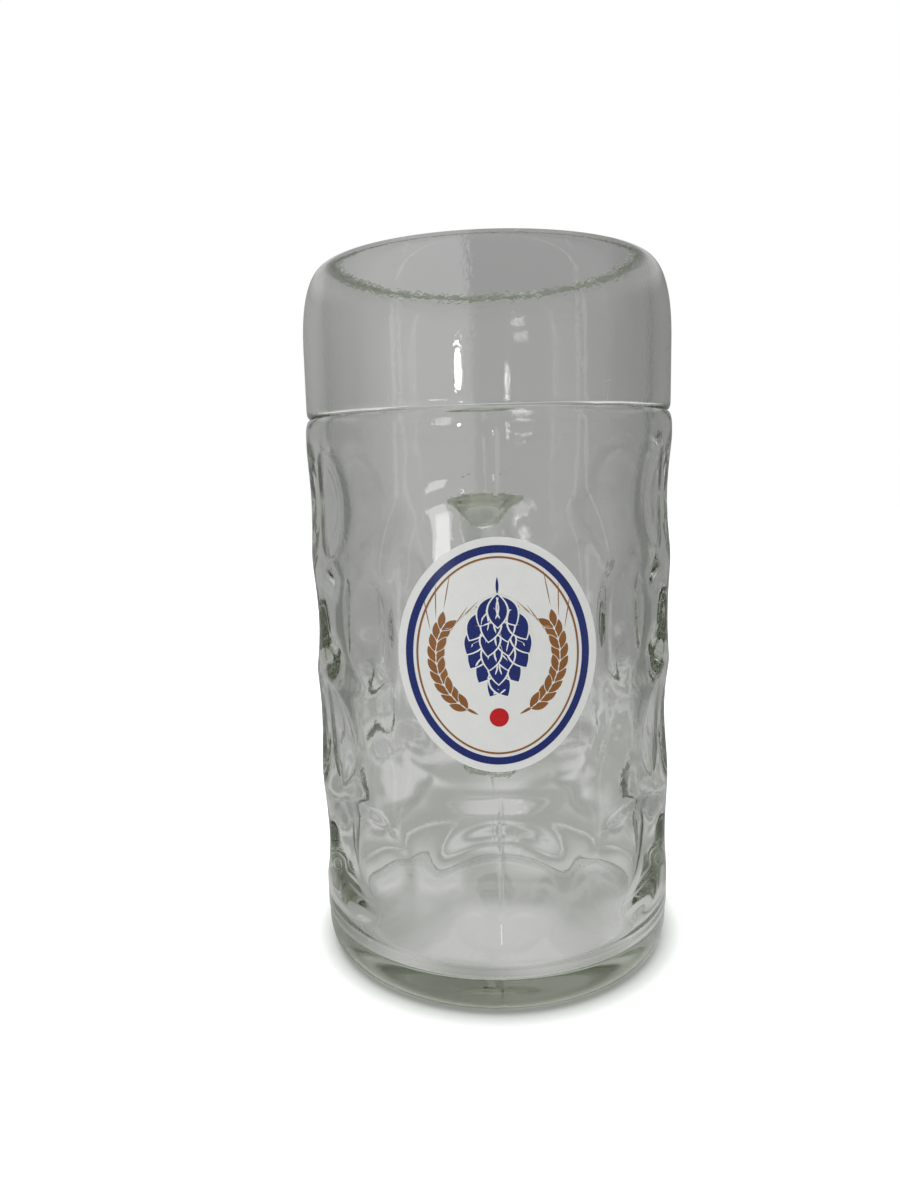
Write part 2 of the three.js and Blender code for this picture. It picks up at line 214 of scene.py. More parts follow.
cosine = add_node(row, MATH, offset, operation="COSINE")
rise = add_node(row, MATH, given["Level"], given["Row Level"], operation="SUBTRACT")
side = add_node(row, MATH, sine, given["Across"], operation="DIVIDE")
front = add_node(row, MATH, cosine, given["Reach"], operation="DIVIDE")
depth = add_node(row, MATH, given["Centre"], given["Reach"], operation="DIVIDE")
upright = add_node(row, MATH, rise, given["Upright"], operation="DIVIDE")
square = add_node(row, MATH, side, side, operation="MULTIPLY")
square = add_node(row, MATH, front, front, square, operation="MULTIPLY_ADD")
middle = add_node(row, MATH, depth, front, operation="MULTIPLY")
rest = add_node(row, MATH, upright, upright, -1.0, operation="MULTIPLY_ADD")
rest = add_node(row, MATH, depth, depth, rest, operation="MULTIPLY_ADD")
rest = add_node(row, MATH, square, rest, operation="MULTIPLY")
under_root = add_node(row, MATH, middle, middle, operation="MULTIPLY")
under_root = add_node(row, MATH, under_root, rest, operation="SUBTRACT")
hit = add_node(row, MATH, under_root, 0.0, operation="GREATER_THAN")
after_first = add_node(row, MATH, cell, given["First"], operation="GREATER_THAN")
before_last = add_node(row, MATH, cell, given["Last"], operation="LESS_THAN")
hit = add_node(row, MATH, hit, after_first, operation="MULTIPLY")
hit = add_node(row, MATH, hit, before_last, operation="MULTIPLY")
root = add_node(row, MATH, add_node(row, MATH, under_root, 0.0, operation="MAXIMUM"), operation="SQRT")
near = add_node(row, MATH, middle, root, operation="SUBTRACT")
near = add_node(row, MATH, near, square, operation="DIVIDE")
pressed = add_node(row, MATH, given["Radius"], near, given["Blend"], operation="SMOOTH_MIN")
choice = add_node(row, "ShaderNodeMix", {0: hit, 2: given["Radius"], 3: pressed}, data_type="FLOAT")
add_node(row, "NodeGroupOutput", choice)

# The whole pressing: four staggered rows on the outside, larger balls on the inside, a plain
# medallion in front, the fine seam where the two halves of the mould met, and an inside that the
# plunger left a little uneven
press_inputs = ("Axis Y", "Wall", "Across", "Reach", "Upright", "Centre", "Outer Blend", "Inner Blend",
                "Top Row", "Bottom Row", "Pitch", "Medallion Angle", "Medallion Half Height",
                "Medallion Level", "Medallion Depth", "Seam Height", "Seam Width", "Seam Foot", "Seam Top",
                "Unevenness", "Uneven Size", "Uneven Top")
press, given = new_tree(
    "pressed_dimples",
    [("Geometry", "Geometry"), *((name, "Float") for name in press_inputs), ("Material", "Material")],
    ("Geometry", "Geometry"),
)
place = add_node(press, "ShaderNodeSeparateXYZ", add_node(press, "GeometryNodeInputPosition"))
x, y, level = place.outputs
y = add_node(press, MATH, y, given["Axis Y"], operation="SUBTRACT")
angle = add_node(press, MATH, x, add_node(press, MATH, y, -1.0, operation="MULTIPLY"), operation="ARCTAN2")
flat = add_node(press, "ShaderNodeCombineXYZ", x, y)
plain = add_node(press, "ShaderNodeVectorMath", flat, operation="LENGTH").outputs["Value"]
inner = add_node(press, "GeometryNodeInputNamedAttribute", "inside", data_type="FLOAT")
outer = add_node(press, MATH, 1.0, inner, operation="SUBTRACT")
grow = add_node(press, MATH, inner, given["Wall"], operation="MULTIPLY")
across = add_node(press, MATH, given["Across"], grow, operation="ADD")
reach = add_node(press, MATH, given["Reach"], grow, operation="ADD")
upright = add_node(press, MATH, given["Upright"], grow, operation="ADD")
blend = add_node(press, "ShaderNodeMix", {0: inner, 2: given["Outer Blend"], 3: given["Inner Blend"]})

# First and last dimple of each row, from the top, in degrees round from the label: the rows leave
# room for the medallion in front and for the handle's roots behind
row_limits = ((40, 150), (20, 181), (40, 181), (-1, 170))
panel_squareness = 3.0
panel_edge = 0.09
radius = plain
for index, (first, last) in enumerate(row_limits):
    share = index / (len(row_limits) - 1)
    row_level = add_node(press, "ShaderNodeMix", {0: share, 2: given["Top Row"], 3: given["Bottom Row"]})
    stagger = add_node(press, MATH, given["Pitch"], 0.5 * (index % 2 == 0), operation="MULTIPLY")
    radius = add_node(press, "GeometryNodeGroup", {
        "Radius": radius, "Angle": angle, "Level": level, "Row Level": row_level, "Stagger": stagger,
        "Pitch": given["Pitch"], "First": math.radians(first), "Last": math.radians(last),
        "Across": across, "Reach": reach, "Upright": upright, "Centre": given["Centre"], "Blend": blend,
    }, node_tree=row)
wide = add_node(press, MATH, angle, operation="ABSOLUTE")
wide = add_node(press, MATH, wide, given["Medallion Angle"], operation="DIVIDE")
tall = add_node(press, MATH, level, given["Medallion Level"], operation="SUBTRACT")
tall = add_node(press, MATH, add_node(press, MATH, tall, operation="ABSOLUTE"),
                given["Medallion Half Height"], operation="DIVIDE")
edge = add_node(press, MATH, add_node(press, MATH, wide, panel_squareness, operation="POWER"),
                add_node(press, MATH, tall, panel_squareness, operation="POWER"), operation="ADD")
edge = add_node(press, MATH, edge, 1 / panel_squareness, operation="POWER")
panel = add_node(press, "ShaderNodeMapRange", edge, 1 - panel_edge, 1 + panel_edge, 1.0, 0.0,
                 interpolation_type="SMOOTHSTEP")
radius = add_node(press, "ShaderNodeMix", {0: panel, 2: radius, 3: plain})
recess = add_node(press, MATH, add_node(press, MATH, panel, outer, operation="MULTIPLY"),
                  given["Medallion Depth"], operation="MULTIPLY")
radius = add_node(press, MATH, radius, recess, operation="SUBTRACT")
ridge = add_node(press, MATH, x, given["Seam Width"], operation="DIVIDE")
ridge = add_node(press, MATH, ridge, ridge, operation="MULTIPLY")
ridge = add_node(press, MATH, add_node(press, MATH, ridge, -1.0, operation="MULTIPLY"), operation="EXPONENT")
ridge = add_node(press, MATH, ridge, given["Seam Height"], operation="MULTIPLY")
ridge = add_node(press, MATH, ridge, outer, operation="MULTIPLY")
below = add_node(press, MATH, level, given["Seam Top"], operation="LESS_THAN")
above = add_node(press, MATH, level, given["Seam Foot"], operation="GREATER_THAN")
ridge = add_node(press, MATH, add_node(press, MATH, ridge, below, operation="MULTIPLY"), above,
                 operation="MULTIPLY")
bare = add_node(press, MATH, 1.0, panel, operation="SUBTRACT")
radius = add_node(press, MATH, ridge, bare, radius, operation="MULTIPLY_ADD")
uneven = add_node(press, "ShaderNodeTexNoise", {
    "Scale": add_node(press, MATH, 1.0, given["Uneven Size"], operation="DIVIDE"), "Detail": 1.0,
})
uneven = add_node(press, MATH, uneven, 0.5, operation="SUBTRACT")
uneven = add_node(press, MATH, uneven, given["Unevenness"], operation="MULTIPLY")
under_top = add_node(press, MATH, level, given["Uneven Top"], operation="LESS_THAN")
uneven = add_node(press, MATH, uneven, add_node(press, MATH, inner, under_top, operation="MULTIPLY"),
                  operation="MULTIPLY")
radius = add_node(press, MATH, radius, uneven, operation="ADD")
change = add_node(press, MATH, radius, plain, operation="DIVIDE")
moved = add_node(press, "ShaderNodeCombineXYZ", add_node(press, MATH, x, change, operation="MULTIPLY"),
                 add_node(press, MATH, y, change, given["Axis Y"], operation="MULTIPLY_ADD"), level)
shaped = add_node(press, "GeometryNodeSetPosition", given["Geometry"], None, moved)
shaped = add_node(press, "GeometryNodeRealizeInstances", shaped)
finished = add_node(press, "GeometryNodeSetMaterial", shaped, None, given["Material"])
add_node(press, "NodeGroupOutput", finished)


def settle(obj):
    """Turns an object and its modifiers into one plain mesh."""
    graph = bpy.context.evaluated_depsgraph_get()
    mesh = bpy.data.meshes.new_from_object(obj.evaluated_get(graph))
    obj.modifiers.clear()
    obj.data = mesh
    mesh.name = obj.name


def run_tree(obj, tree, values):
    """Runs a geometry tree on an object, with its inputs set by name, and keeps the plain result."""
    modifier = obj.modifiers.new(tree.name, "NODES")
    modifier.node_group = tree
    for item in tree.interface.items_tree:
        if item.in_out == "INPUT" and item.name in values:
            modifier[item.identifier] = values[item.name]
    settle(obj)


def linear(code):
    """An sRGB hex colour as linear red, green, blue and alpha."""
    parts = [int(code[i:i + 2], 16) / 255 for i in (1, 3, 5)]
    return (*(c / 12.92 if c <= 0.04045 else ((c + 0.055) / 1.055) ** 2.4 for c in parts), 1.0)


# Soda-lime glass, pressed: clear with a faint green in the thick parts, slightly wavy where the
# mould chilled it, with a fine ripple drawn at 1.2 mm that fades towards the foot, and scuffed only on
# the ring that stands on tables. Light for matt things passes straight through, so that the label is
# lit from behind as well.
glass_ior = 1.52
wave_size = 0.028
wave_depth = 0.00002
ripple_size = 0.0012
ripple_depth = 0.000018
ripple_at_foot = 0.15
scuff_height = 0.0004
scuff_roughness = 0.3
tint_density = 13.0
soda_lime = bpy.data.materials.new("soda_lime_glass_pressed")
soda_lime.use_nodes = True
tree = soda_lime.node_tree
tree.nodes.clear()
spot = add_node(tree, "ShaderNodeTexCoord").outputs["Object"]
wave = add_node(tree, "ShaderNodeTexNoise", {"Vector": spot, "Scale": 1 / wave_size, "Detail": 1.0})
ripple = add_node(tree, "ShaderNodeTexNoise", {"Vector": spot, "Scale": 1 / ripple_size, "Detail": 2.0})
bump = add_node(tree, "ShaderNodeBump", {"Height": wave, "Distance": wave_depth})
spot_level = add_node(tree, "ShaderNodeSeparateXYZ", spot).outputs["Z"]
strength = add_node(tree, "ShaderNodeMapRange", spot_level, foot_height, shoulder, ripple_at_foot, 1.0)
bump = add_node(tree, "ShaderNodeBump", {
    "Strength": strength, "Height": ripple, "Distance": ripple_depth, "Normal": bump,
})
scuff = add_node(tree, "ShaderNodeMapRange", spot_level, 0.0, scuff_height, scuff_roughness, 0.0)
clear = add_node(tree, "ShaderNodeBsdfPrincipled", {
    "Base Color": linear("#ffffff"), "Roughness": scuff, "IOR": glass_ior,
    "Transmission Weight": 1.0, "Normal": bump,
})
tint = add_node(tree, "ShaderNodeVolumeAbsorption", {"Color": linear("#c4ccb8"), "Density": tint_density})
for_matt = add_node(tree, "ShaderNodeLightPath").outputs["Is Diffuse Ray"]
straight = add_node(tree, "ShaderNodeBsdfTransparent", linear("#f8faf6"))
surface = add_node(tree, "ShaderNodeMixShader", for_matt, clear, straight)
add_node(tree, "ShaderNodeOutputMaterial", surface, tint)

dimple_columns = 8
dimple_bridge = 0.0044
dimple_height = 0.034
dimple_sink = 0.0005
dimple_wall = 0.005
dimple_ball = 0.020
outer_blend = 0.0014
inner_blend = 0.0024
top_band = 0.002
foot_band = 0.020
medallion_width = 0.0596
medallion_height = 0.079
medallion_drop = 0.0545
medallion_depth = 0.0007
seam_height = 0.00025
seam_width = 0.0005
unevenness = 0.0006
uneven_size = 0.02
pitch = 2 * math.pi / dimple_columns
dimple_width = 2 * body_radius * math.sin(pitch / 2) - dimple_bridge
chord_depth = body_radius - math.sqrt(body_radius ** 2 - (dimple_width / 2) ** 2)
dimple_depth = chord_depth + dimple_sink
side_share = 1 - dimple_sink / dimple_ball
end_share = 1 - dimple_depth / dimple_ball
run_tree(glass, press, {
    "Axis Y": axis_y,
    "Wall": dimple_wall,
    "Across": dimple_width / 2 / math.sqrt(1 - side_share ** 2),
    "Reach": dimple_ball,
    "Upright": dimple_height / 2 / math.sqrt(1 - end_share ** 2),
    "Centre": body_radius - dimple_depth + dimple_ball,
    "Outer Blend": outer_blend,
    "Inner Blend": inner_blend,
    "Top Row": shoulder - top_band - dimple_height / 2,
    "Bottom Row": foot_band + dimple_height / 2,
    "Pitch": pitch,
    "Medallion Angle": math.asin(medallion_width / 2 / body_radius),
    "Medallion Half Height": medallion_height / 2,
    "Medallion Level": shoulder - medallion_drop,
    "Medallion Depth": medallion_depth,
    "Seam Height": seam_height,
    "Seam Width": seam_width,
    "Seam Foot": bottom_edge / 4,
    "Seam Top": shoulder,
    "Unevenness": unevenness,
    "Uneven Size": uneven_size,
    "Uneven Top": groove_height,
    "Material": soda_lime,
})

# Handle
# A solid loop of the same glass, pressed on hot and fused to the back of the body at two roots. It is
# broad on the back, narrow towards the fingers, and its upper root spreads into two points.
handle_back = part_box("handle")[1].y
handle_reach = handle_back - axis_y - body_radius
upper_root_drop = 0.0227
upper_root = shoulder - upper_root_drop
lower_root = 0.038
handle_rise = 0.004
upper_bend = 0.022
lower_bend = 0.026
grip_thickness = 0.015
grip_back = 0.023
grip_front = 0.015
root_thickness = 0.0185
upper_root_back = 0.040
lower_root_back = 0.026
root_front = 0.009
root_sink = 0.006
root_fillet = 0.0012
root_fillet_limit = 2
root_hollow = 0.35
root_growth = 3
root_ease = 1.5
section_power = 2 / 3
section_points = 28
handle_steps = 26
glass_crease = math.radians(50)

grip_depth = body_radius + handle_reach - grip_thickness / 2
route = chain((body_radius - root_sink, upper_root), (
    (handle_steps, (body_radius + handle_reach / 3, upper_root + handle_rise / 2),
     (grip_depth, upper_root + handle_rise), (grip_depth, upper_root - upper_bend)),
    (handle_steps // 2, (grip_depth, lower_root + lower_bend)),
    (handle_steps, (grip_depth, lower_root + lower_bend / 4),
     (body_radius + handle_reach / 2, lower_root + handle_rise / 2),
     (body_radius - root_sink, lower_root)),
))
along = np.gradient(route, axis=0)
along /= np.linalg.norm(along, axis=1)[:, None]
outward = np.stack([-along[:, 1], along[:, 0]], axis=1)
travel = np.append(0, np.cumsum(np.linalg.norm(np.diff(route, axis=0), axis=1)))
share = travel / travel[-1]
# Nought along the grip, growing to one at each root over the third of the loop next to it
to_root = np.clip(1 - root_growth * np.minimum(share, 1 - share), 0, 1) ** root_ease
fillet = root_fillet * np.exp((body_radius - route[:, 0]) / root_fillet).clip(0, root_fillet_limit)
thickness = grip_thickness + (root_thickness - grip_thickness) * to_root + fillet
root_back = np.where(share < 0.5, upper_root_back, lower_root_back)
back_width = grip_back + (root_back - grip_back) * to_root + fillet
front_width = grip_front + (root_front - grip_front) * to_root + fillet
around = np.linspace(0, 2 * math.pi, section_points, endpoint=False)
sideways = np.sign(np.cos(around)) * np.abs(np.cos(around)) ** section_power / 2
upwards = np.sign(np.sin(around)) * np.abs(np.sin(around)) ** section_power / 2
corners = []
for station in range(len(route)):
    spread = (upwards + 0.5) ** (1 + root_hollow * to_root[station])
    width = front_width[station] + (back_width[station] - front_width[station]) * spread
    centre = route[station] + outward[station] * (upwards * thickness[station])[:, None]
    corners.append(np.stack([sideways * width, axis_y + centre[:, 0], centre[:, 1]], axis=1))
mesh = bmesh.new()
rings = [[mesh.verts.new(corner) for corner in ring] for ring in corners]
for ring, following in zip(rings, rings[1:]):
    for i in range(section_points):
        j = (i + 1) % section_points
        mesh.faces.new((ring[i], ring[j], following[j], following[i]))
mesh.faces.new(rings[0])
mesh.faces.new(rings[-1])
bmesh.ops.recalc_face_normals(mesh, faces=mesh.faces)
handle_data = bpy.data.meshes.new("handle_loop")
mesh.to_mesh(handle_data)
mesh.free()
handle = bpy.data.objects.new("handle_loop", handle_data)
bpy.context.scene.collection.objects.link(handle)
smooth = handle.modifiers.new("smooth", "SUBSURF")
smooth.levels = smooth.render_levels = 1
settle(handle)
handle.data.materials.append(soda_lime)
fuse = glass.modifiers.new("fuse", "BOOLEAN")
fuse.operation = "UNION"
fuse.solver = "EXACT"
fuse.object = handle
settle(glass)
bpy.data.objects.remove(handle)
glass.data.polygons.foreach_set("use_smooth", [True] * len(glass.data.polygons))
glass.data.set_sharp_from_angle(angle=glass_crease)
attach(glass, "root")
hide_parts("mug_body", "handle")

# Label ground
# The first colour of the label: an oval of white glass enamel, screened onto the medallion and
# fired into the surface, so it lies on the glass with no air behind it.
film_thickness = 0.00006
film_sink = 0.00003
film_columns = 160
disc_rings = 26
band_rings = 3
film_weld = 0.000001
film_crease = math.radians(40)
glass_face = body_radius - medallion_depth


def oval_film(name, node, layer, ring_width=None):
    """A thin closed oval, or an oval ring, on the medallion, as large as the node it stands for."""
    near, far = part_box(node)
    half = np.array([far.x - near.x, far.z - near.z]) / 2
    middle = np.array([far.x + near.x, far.z + near.z]) / 2
    hole = half - ring_width if ring_width else half * 0
    base = glass_face + layer * film_thickness - film_sink
    rings = band_rings if ring_width else disc_rings
    turn = np.linspace(0, 2 * math.pi, film_columns, endpoint=False)
    unit = np.stack([np.cos(turn), np.sin(turn)], axis=1)
    mesh = bmesh.new()
    skins = []
    for lift in (0, film_thickness + film_sink):
        skin = []
        for ring in range(rings + 1):
            points = middle + unit * (hole + (half - hole) * ring / rings)
            depths = axis_y - np.sqrt((base + lift) ** 2 - points[:, 0] ** 2)
            skin.append([mesh.verts.new((p[0], d, p[1])) for p, d in zip(points, depths)])
        skins.append(skin)
    for i in range(film_columns):
        j = (i + 1) % film_columns
        for skin in skins:
            for inner_ring, outer_ring in zip(skin, skin[1:]):
                mesh.faces.new((inner_ring[i], inner_ring[j], outer_ring[j], outer_ring[i]))
        for ring in (0, -1):
            under, over = skins[0][ring], skins[1][ring]
            mesh.faces.new((under[i], under[j], over[j], over[i]))
    bmesh.ops.remove_doubles(mesh, verts=mesh.verts, dist=film_weld)
    bmesh.ops.recalc_face_normals(mesh, faces=mesh.faces)
    data = bpy.data.meshes.new(name)
    mesh.to_mesh(data)
    mesh.free()
    data.polygons.foreach_set("use_smooth", [True] * len(data.polygons))
    data.set_sharp_from_angle(angle=film_crease)
    film = bpy.data.objects.new(name, data)
    bpy.context.scene.collection.objects.link(film)
    return film


# Fired enamel: powdered glass and pigment, opaque and glossy with the soft grain of the screen. The
# screen's mesh is about 0.1 mm and is drawn at 0.6 mm, so that it shows
ground_shade = "#e8e8e4"
screen_pitch = 0.0006
screen_depth = 0.000004
mottle_size = 0.004
enamel_roughness = (0.18, 0.34)
enamel_ior = 1.5
enamel_specular = 0.25


def fired_enamel(name, code, darker, bare_edge=0.0):
    """A glossy opaque enamel between two close shades of one colour. On stencilled leaves a share of
    the half width stays bare along the edge and shows the white ground."""
    material = bpy.data.materials.new(name)
    material.use_nodes = True
    tree = material.node_tree
    tree.nodes.clear()
    spot = add_node(tree, "ShaderNodeTexCoord").outputs["Object"]
    mottle = add_node(tree, "ShaderNodeTexNoise", {"Vector": spot, "Scale": 1 / mottle_size, "Detail": 3.0})
    grain = add_node(tree, "ShaderNodeTexNoise", {"Vector": spot, "Scale": 1 / screen_pitch, "Detail": 1.0})
    shade = add_node(tree, "ShaderNodeMix", {0: mottle, 6: linear(code), 7: linear(darker)}, data_type="RGBA")
    if bare_edge:
        across, along, _ = add_node(tree, "ShaderNodeSeparateXYZ", add_node(
            tree, "ShaderNodeAttribute", attribute_name="leaf").outputs["Vector"]).outputs
        across = add_node(tree, MATH, across, operation="ABSOLUTE")
        from_edge = add_node(tree, MATH, along, along, across, operation="MULTIPLY_ADD")
        bare = add_node(tree, MATH, from_edge, 1 - bare_edge, operation="GREATER_THAN")
        shade = add_node(tree, "ShaderNodeMix", {0: bare, 6: shade.outputs[2], 7: linear(ground_shade)},
                         data_type="RGBA")
    gloss = add_node(tree, "ShaderNodeMapRange", grain, 0.0, 1.0, *enamel_roughness)
    bump = add_node(tree, "ShaderNodeBump", {"Height": grain, "Distance": screen_depth})
    surface = add_node(tree, "ShaderNodeBsdfPrincipled", {
        "Base Color": shade.outputs[2], "Roughness": gloss, "IOR": enamel_ior,
        "Specular IOR Level": enamel_specular, "Normal": bump,
    })
    add_node(tree, "ShaderNodeOutputMaterial", surface)
    return material


white_enamel = fired_enamel("white_fired_enamel", ground_shade, "#dededb")
ground = oval_film("label_white_ground", "label_ground", 0)
ground.data.materials.append(white_enamel)
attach(ground, "root")
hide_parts("label_ground")

# Border ring and keyline
# A broad blue ring and a fine gold line inside it: two more colours of glass enamel, each printed on
# the white ground through a screen of its own and fired with it.
border_width = 0.0019
keyline_width = 0.0005
blue_shades = ("#16286f", "#101f5a")
gold_shades = ("#94612f", "#7d4f24")
blue_enamel = fired_enamel("blue_fired_enamel", *blue_shades)
gold_enamel = fired_enamel("gold_fired_enamel", *gold_shades)
ring_pieces = (
    ("label_blue_ring", "border_ring", border_width, blue_enamel, "blue_enamel"),
    ("label_gold_line", "gold_keyline", keyline_width, gold_enamel, "gold_enamel"),
)
for name, node, width, material, slot in ring_pieces:
    ring = oval_film(name, node, 1, width)
    ring.data.materials.append(material)
    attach(ring, "root")
    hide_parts(node)

# Red knot
# A round dot of red enamel between the ears, on the label's centre line. It is one more colour of
# glass enamel, printed on the white ground and fired with it.
knot = oval_film("label_red_knot", "red_knot", 1)
knot.data.materials.append(fired_enamel("red_fired_enamel", "#c8161a", "#b01014"))
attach(knot, "root")
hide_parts("red_knot")

# Hop cone
# A ripe hop cone in blue enamel, in rows of pointed scales. Each scale is stencilled by itself, so a
# thin edge of the white ground stays bare round it.
leaf_thickness = 0.00004
leaf_steps = 12
label_low, label_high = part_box("label_ground")
label_level = (label_low.z + label_high.z) / 2


def pointed_leaf(name, length, width):
    """A thin closed leaf in the label's plane, with its place on the leaf kept as an attribute."""
    foot, tip = (0, -length / 2), (0, length / 2)
    edge = chain(foot, ((leaf_steps, (width, 0), tip), (leaf_steps, (-width, 0), foot)))[:-1]
    count = len(edge)
    rings = [np.insert(edge, 1, depth, axis=1) for depth in (film_sink, -leaf_thickness)]
    faces = [tuple(range(count)), tuple(reversed(range(count, 2 * count)))]
    faces += [(i, count + i, count + (i + 1) % count, (i + 1) % count) for i in range(count)]
    data = bpy.data.meshes.new(name)
    corners = np.vstack(rings)
    data.from_pydata(corners.tolist(), [], faces)
    place = corners[:, (0, 2, 1)] / (width / 2, length / 2, 1)
    data.attributes.new("leaf", "FLOAT_VECTOR", "POINT").data.foreach_set("vector", place.ravel())
    return bpy.data.objects.new(name, data)


# Leaves laid out flat, then wrapped round the glass
stencil, given = new_tree(
    "stencil_on_glass",
    (("Geometry", "Geometry"), ("Leaf", "Object"), ("Radius", "Float"), ("Axis Y", "Float"),
     ("Material", "Material")),
    ("Geometry", "Geometry"),
)
leaf_shape = add_node(stencil, "GeometryNodeObjectInfo", given["Leaf"]).outputs["Geometry"]
lean = add_node(stencil, "GeometryNodeInputNamedAttribute", "lean", data_type="FLOAT_VECTOR")
stretch = add_node(stencil, "GeometryNodeInputNamedAttribute", "stretch", data_type="FLOAT_VECTOR")
leaves = add_node(stencil, "GeometryNodeInstanceOnPoints", {
    "Points": given["Geometry"], "Instance": leaf_shape, "Rotation": lean, "Scale": stretch,
})
leaves = add_node(stencil, "GeometryNodeRealizeInstances", leaves)
x, y, z = add_node(stencil, "ShaderNodeSeparateXYZ", add_node(stencil, "GeometryNodeInputPosition")).outputs
bend = add_node(stencil, MATH, given["Radius"], y, operation="SUBTRACT")
bend = add_node(stencil, MATH, bend, bend, operation="MULTIPLY")
aside = add_node(stencil, MATH, x, x, operation="MULTIPLY")
bend = add_node(stencil, MATH, bend, aside, operation="SUBTRACT")
bend = add_node(stencil, MATH, bend, operation="SQRT")
bend = add_node(stencil, MATH, given["Axis Y"], bend, operation="SUBTRACT")
leaves = add_node(stencil, "GeometryNodeSetPosition", leaves, None, add_node(
    stencil, "ShaderNodeCombineXYZ", x, bend, z))
leaves = add_node(stencil, "GeometryNodeSetMaterial", leaves, None, given["Material"])
add_node(stencil, "NodeGroupOutput", leaves)


def stencilled(name, leaf, places, material, node):
    """Leaves on the label's ground; each place is across, layer, up, lean, and two stretches."""
    places = np.array(places)
    data = bpy.data.meshes.new(name)
    data.from_pydata((places[:, :3] * (1, -leaf_thickness / 2, 1) + (0, 0, label_level)).tolist(), [], [])
    nothing, whole = np.zeros(len(places)), np.ones(len(places))
    turns = np.stack([nothing, places[:, 3], nothing], axis=1)
    scales = np.stack([places[:, 4], whole, places[:, 5]], axis=1)
    for label, values in (("lean", turns), ("stretch", scales)):
        data.attributes.new(label, "FLOAT_VECTOR", "POINT").data.foreach_set("vector", values.ravel())
    piece = bpy.data.objects.new(name, data)
    bpy.context.scene.collection.objects.link(piece)
    run_tree(piece, stencil, {"Leaf": leaf, "Radius": glass_face + film_thickness, "Axis Y": axis_y,
                              "Material": material})
    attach(piece, "root")
    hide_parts(node)


cone_low, cone_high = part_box("hop_cone")
cone_width = cone_high.x - cone_low.x
scale_length = 0.009
scale_width = 0.0056
cone_rows = 6
cone_fullness = 0.8
scale_edge = 0.16
stalk_length = 0.005
stalk_slimness = 0.16
scales = []
for row_index in range(cone_rows):
    fall = ((cone_rows - row_index) / (cone_rows + 1)) ** cone_fullness
    row_width = cone_width * math.sin(math.pi * fall)
    count = round(row_width / scale_width) + 1
    up = np.interp(row_index, (0, cone_rows - 1),
                   (cone_low.z + scale_length / 2, cone_high.z - scale_length / 2)) - label_level
    for i in range(count):
        share = i / (count - 1) - 0.5 if count > 1 else 0.0
        scales.append((share * (row_width - scale_width), 2 * row_index + i % 2, up, -share, 1, 1))
stalk_level = cone_high.z + stalk_length / 3 - label_level
scales.append((0, 0, stalk_level, 0, stalk_slimness, stalk_length / scale_length))
hop_blue = fired_enamel("blue_enamel_scales", *blue_shades, bare_edge=scale_edge)
hop_scale = pointed_leaf("hop_scale", scale_length, scale_width)
stencilled("label_hop_cone", hop_scale, scales, hop_blue, "hop_cone")

# Barley ears
# Two ears of barley in gold enamel, curved round the cone like a wreath and stencilled as its scales
# are: grains in pairs along an arc, a short stem below them and fine awns at the tip.
keyline_low, keyline_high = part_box("gold_keyline")
knot_low, knot_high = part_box("red_knot")
ear_margin = 0.0045
knot_gap = 0.0048
ear_sweep = math.radians(96)
ear_grains = 9
grain_length = 0.005
grain_width = 0.0022
grain_lean = math.radians(22.5)
grain_edge = 0.14
stem_slimness = 0.4
awn_length = 0.010
awn_slimness = 0.14
awn_pairs = 3
ear_radius = (keyline_high.x - keyline_low.x) / 2 - keyline_width - ear_margin
knot_radius = (knot_high.x - knot_low.x) / 2
ear_start = math.asin((knot_radius + knot_gap) / ear_radius) - math.pi / 2
grain_gold = fired_enamel("gold_enamel_grains", *gold_shades, bare_edge=grain_edge)
barley_grain = pointed_leaf("barley_grain", grain_length, grain_width)
for side, name in ((1, "right"), (-1, "left")):
    grains = [(side * ear_radius * math.cos(ear_start), 0, ear_radius * math.sin(ear_start),
               -side * ear_start, stem_slimness, 1)]
    for pair in range(1, ear_grains + 1):
        angle = ear_start + ear_sweep * pair / ear_grains
        for lean in (-1, 1):
            radius = ear_radius + lean * grain_width / 2
            turn = -side * (angle - lean * grain_lean)
            across = side * radius * math.cos(angle)
            up = radius * math.sin(angle)
            grains.append((across, pair % 2 + 1, up, turn, 1, 1))
            if pair > ear_grains - awn_pairs:
                reach = (grain_length + awn_length) / 2
                grains.append((across + math.sin(turn) * reach, 0, up + math.cos(turn) * reach,
                               turn, awn_slimness, awn_length / grain_length))
    stencilled("label_barley_" + name, barley_grain, grains, grain_gold, "barley_ear_" + name)

# Room tone
# What the glass bends and mirrors: a pale wall behind the table in two close greys, dimmer sides that
# draw dark lines along the edges of the glass, and a bright room behind the camera with two brighter
# strips and a bright band above. Angles run round from straight behind, levels are a direction's z.
wall_seam = np.radians((0.3, 0.8))
side_start = np.radians((48, 58))
front_start = np.radians((80, 110))
strip_angle, strip_half_width = np.radians((122, 1.2))
strip_glow = (2.0, 2.0, 2.0, 1.0)
table_levels = (0.0, 0.15)
side_levels = (0.1, 0.35)
band_bottom = (0.26, 0.34)
band_top = (0.42, 0.5)
room_tone = bpy.data.node_groups.new("room_tone", "ShaderNodeTree")
room_tone.interface.new_socket("Direction", in_out="INPUT", socket_type="NodeSocketVector")
room_tone.interface.new_socket("Color", in_out="OUTPUT", socket_type="NodeSocketColor")
place = add_node(room_tone, "ShaderNodeSeparateXYZ", add_node(room_tone, "NodeGroupInput"))
around = add_node(room_tone, MATH, place.outputs["X"], place.outputs["Y"], operation="ARCTAN2")
turned = add_node(room_tone, MATH, around, operation="ABSOLUTE")
up = place.outputs["Z"]
to_right = add_node(room_tone, "ShaderNodeMapRange", around, *wall_seam, 0.0, 1.0)
low_wall = add_node(room_tone, "ShaderNodeMapRange", up, *table_levels, 1.0, 0.0)
